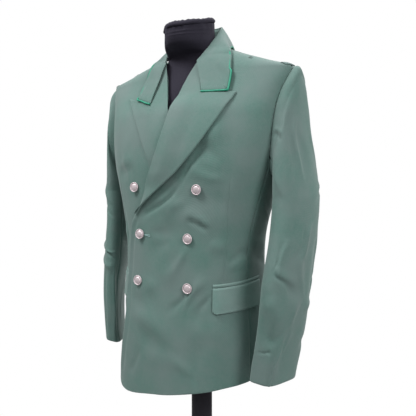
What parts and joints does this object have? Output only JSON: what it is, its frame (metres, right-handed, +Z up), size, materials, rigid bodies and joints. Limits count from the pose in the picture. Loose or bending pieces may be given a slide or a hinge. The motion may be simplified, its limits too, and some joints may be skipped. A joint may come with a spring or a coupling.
{
  "type": "double-breasted uniform jacket on dress form with stand",
  "caption": "Double-breasted uniform jacket with peak lapels, piped collar and flap pockets, worn by a limbless dress form with a short neck on a pole stand with a round base.",
  "frame": {"origin": "centre of the round base's underside, on the floor", "axes": "+Z up, -Y to the wearer's front, +X to the wearer's left"},
  "size_m": [0.5447, 0.36, 1.3009],
  "materials": {
    "cloth": "grey-green wool twill",
    "piping": "bright green wool cord",
    "button_metal": "dull silver, plain dome",
    "form_cover": "black knitted cover",
    "stand_paint": "black satin paint"
  },
  "bodies": {
    "root": {"left_front": "cloth", "right_front": "cloth", "left_side": "cloth", "right_side": "cloth", "left_back": "cloth", "right_back": "cloth", "left_upper_sleeve": "cloth", "left_under_sleeve": "cloth", "right_upper_sleeve": "cloth", "right_under_sleeve": "cloth", "left_lapel": "cloth", "right_lapel": "cloth", "collar_fall": "cloth", "collar_stand": "cloth", "collar_piping": "piping", "left_pocket_flap": "cloth", "right_pocket_flap": "cloth", "left_pocket_jet": "cloth", "right_pocket_jet": "cloth", "left_shoulder_loop": "cloth", "right_shoulder_loop": "cloth", "button_right_top": "button_metal", "button_left_top": "button_metal", "button_right_middle": "button_metal", "button_left_middle": "button_metal", "button_right_low": "button_metal", "button_left_low": "button_metal", "form_torso": "form_cover", "form_neck_cap": "form_cover", "stand_pole": "stand_paint", "stand_base": "stand_paint"}
  },
  "joints": []
}
